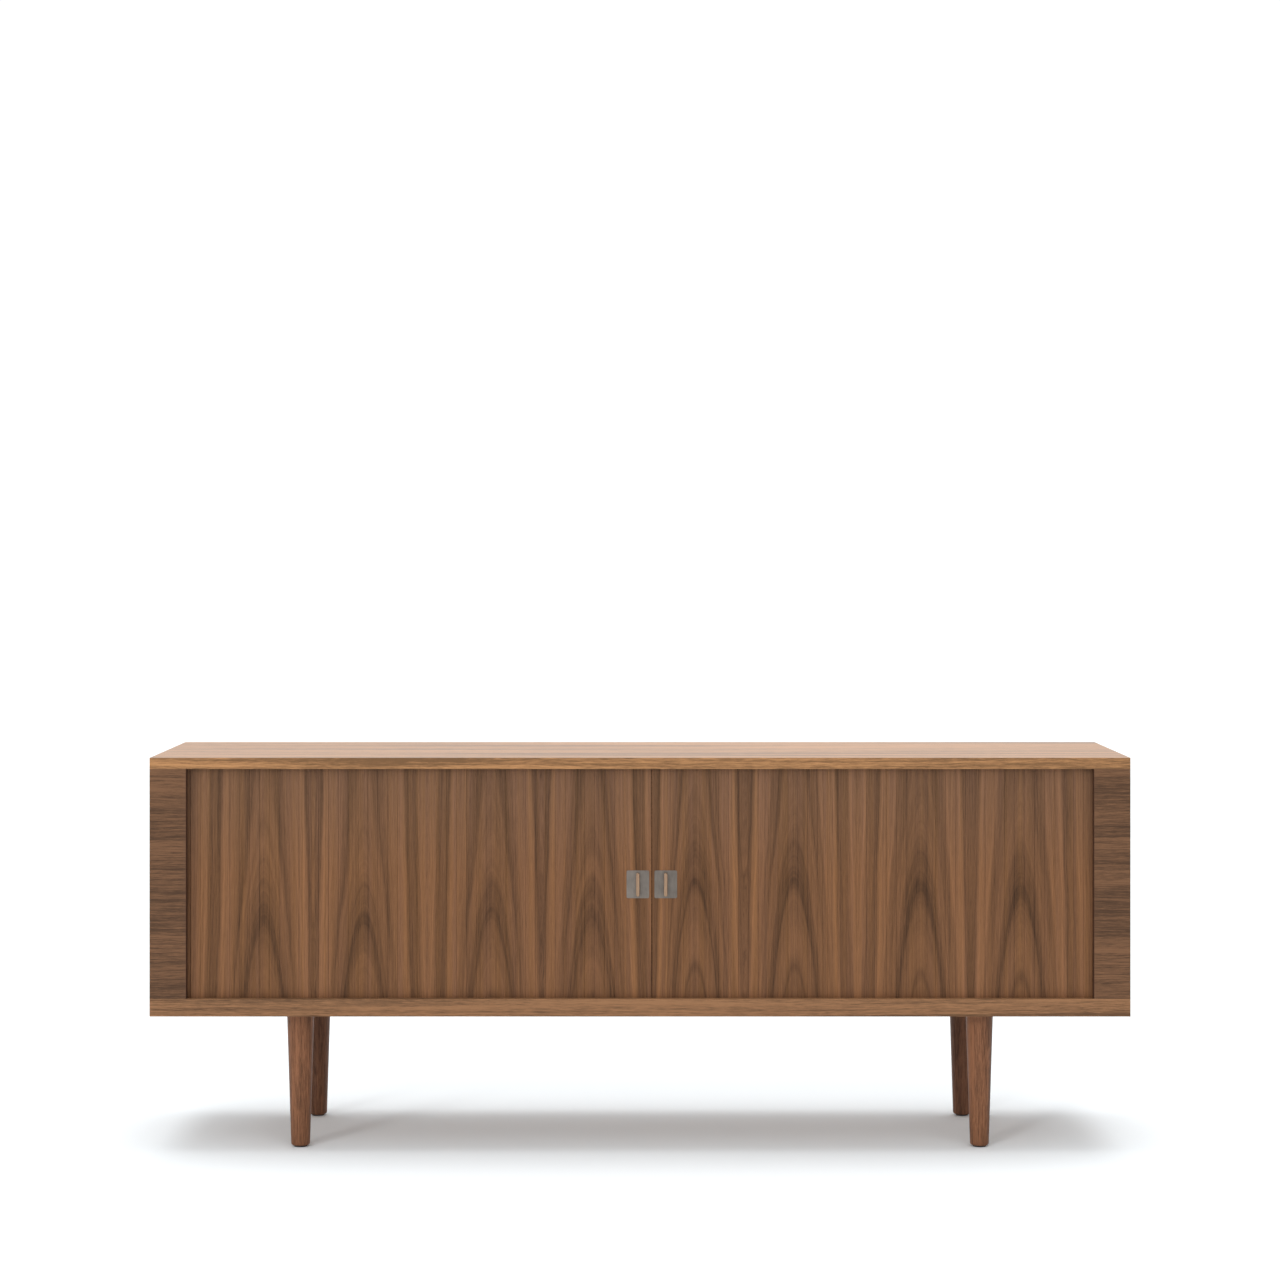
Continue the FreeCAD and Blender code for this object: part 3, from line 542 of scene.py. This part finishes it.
def joined(source):
    """A copy of a mesh to work on, with the points that its faces share joined into one."""
    work = bmesh.new()
    work.from_mesh(source)
    bmesh.ops.remove_doubles(work, verts=work.verts, dist=HAIR)
    return work


def finished(work, name):
    """The worked-on mesh as a new mesh of its own."""
    mesh = bpy.data.meshes.new(name)
    work.to_mesh(mesh)
    work.free()
    return mesh


def divided_slats(source):
    """Two meshes: the slats that the lead stile reaches, and those that lie wholly in the bend."""
    parts = []
    for in_bend in (False, True):
        work = joined(source)
        unseen = set(work.verts)
        unwanted = []
        while unseen:
            slat = island(unseen)
            nearest = min(abs(vert.co.x) for vert in slat)
            if (nearest > PAST_CORNER) != in_bend:
                unwanted += slat
        bmesh.ops.delete(work, geom=unwanted, context="VERTS")
        parts.append(finished(work, "slats"))
    return parts


def divided_canvas(source, sign, cut):
    """Two meshes, both closed at the cut: the cloth up to it, and the cloth beyond it, in the bend."""
    parts = []
    for in_bend in (False, True):
        work = joined(source)
        everything = work.verts[:] + work.edges[:] + work.faces[:]
        place = cut + (HAIR if in_bend else -HAIR)
        made = bmesh.ops.bisect_plane(work, geom=everything, plane_co=(sign * place, 0, 0),
                                      plane_no=(sign, 0, 0), clear_outer=not in_bend, clear_inner=in_bend)
        rim = [part for part in made["geom_cut"] if isinstance(part, bmesh.types.BMEdge)]
        bmesh.ops.holes_fill(work, edges=rim)
        parts.append(finished(work, "canvas"))
    return parts


def island(unseen):
    """Takes one joined group of points out of the unseen ones."""
    group = [unseen.pop()]
    for vert in group:
        for edge in vert.link_edges:
            other = edge.other_vert(vert)
            if other in unseen:
                unseen.remove(other)
                group.append(other)
    return group


def flat_x(x, y, sign):
    """Where a point round the bend would lie along X if the curtain were laid flat."""
    beyond = sign * x - BEND_CENTRE[0]
    if beyond <= 0:
        return x
    turn = math.atan2(beyond, BEND_CENTRE[1] - y)
    return sign * (BEND_CENTRE[0] + turn * BEND_RADIUS)


def keep_flat_place(mesh, sign):
    """The UV map becomes each corner's X and Z on the flat curtain, in metres."""
    while mesh.uv_layers:
        mesh.uv_layers.remove(mesh.uv_layers[0])
    layer = mesh.uv_layers.new(name="flat_place")
    for loop in mesh.loops:
        point = mesh.vertices[loop.vertex_index].co
        layer.data[loop.index].uv = (flat_x(point.x, point.y, sign), point.z)


for side in SIDES:
    curtain(side)


# ---- floor, light and camera -------------------------------------------------------------------------

FLOOR_REACH = 30.0
# The strength of the surroundings goes from the first value to the second as the direction's Y does so.
WORLD_Y = (-0.4, 0.3)
WORLD_STRENGTH = (0.38, 1.05)
# Each sun: its name, the way it shines, its strength, and how wide it is in degrees.
SUNS = [("overhead", (0.0, -0.06, -1.0), 1.4, 36),
        ("front", (0.0, 0.85, -1.0), 1.0, 54),
        ("key", (0.55, 1.0, -0.4), 0.62, 10)]

CASE_FRONT = -0.2425
CAMERA_DISTANCE = 6.108
CAMERA_HEIGHT = 1.212
SENSOR_WIDTH = 36
LENS = 86.65
LENS_SHIFT = -0.0766


def make_floor():
    """A wide pale floor, part of the stage."""
    mesh = bpy.data.meshes.new("floor")
    corners = [(x * FLOOR_REACH, y * FLOOR_REACH, 0) for x, y in ((-1, -1), (1, -1), (1, 1), (-1, 1))]
    mesh.from_pydata(corners, [], [(0, 1, 2, 3)])
    floor = placed("floor", mesh)
    mesh.materials.append(floor_paint("floor_paint"))


def make_world():
    """White all round, and less than half as bright on the side that the front faces."""
    world = bpy.data.worlds.new("studio")
    bpy.context.scene.world = world
    world.use_nodes = True
    tree = world.node_tree
    back = tree.nodes["Background"]
    coordinates = tree.nodes.new("ShaderNodeTexCoord")
    split = tree.nodes.new("ShaderNodeSeparateXYZ")
    tree.links.new(coordinates.outputs["Generated"], split.inputs[0])
    spread = tree.nodes.new("ShaderNodeMapRange")
    spread.interpolation_type = "SMOOTHSTEP"
    tree.links.new(split.outputs[1], spread.inputs[0])
    for socket, value in zip(spread.inputs[1:5], (*WORLD_Y, *WORLD_STRENGTH)):
        socket.default_value = value
    tree.links.new(spread.outputs[0], back.inputs["Strength"])
    back.inputs["Color"].default_value = (1, 1, 1, 1)


def make_sun(name, heading, strength, width):
    """A soft light from far away."""
    lamp = bpy.data.lights.new(name, "SUN")
    lamp.energy = strength
    lamp.angle = math.radians(width)
    placed(name, lamp).rotation_euler = Vector(heading).to_track_quat("-Z", "Y").to_euler()


def make_camera():
    """A level camera straight in front of the middle, with the lens shifted down."""
    data = bpy.data.cameras.new("camera")
    camera = placed("camera", data)
    camera.location = (0.0, CASE_FRONT - CAMERA_DISTANCE, CAMERA_HEIGHT)
    camera.rotation_euler = (math.radians(90), 0, 0)
    data.sensor_width = SENSOR_WIDTH
    data.lens = LENS
    data.shift_y = LENS_SHIFT
    data.clip_start = 0.1
    data.clip_end = 200
    bpy.context.scene.camera = camera


make_floor()
make_world()
for sun in SUNS:
    make_sun(*sun)
make_camera()
bpy.context.scene.view_settings.view_transform = "Standard"
bpy.context.scene.view_settings.look = "None"
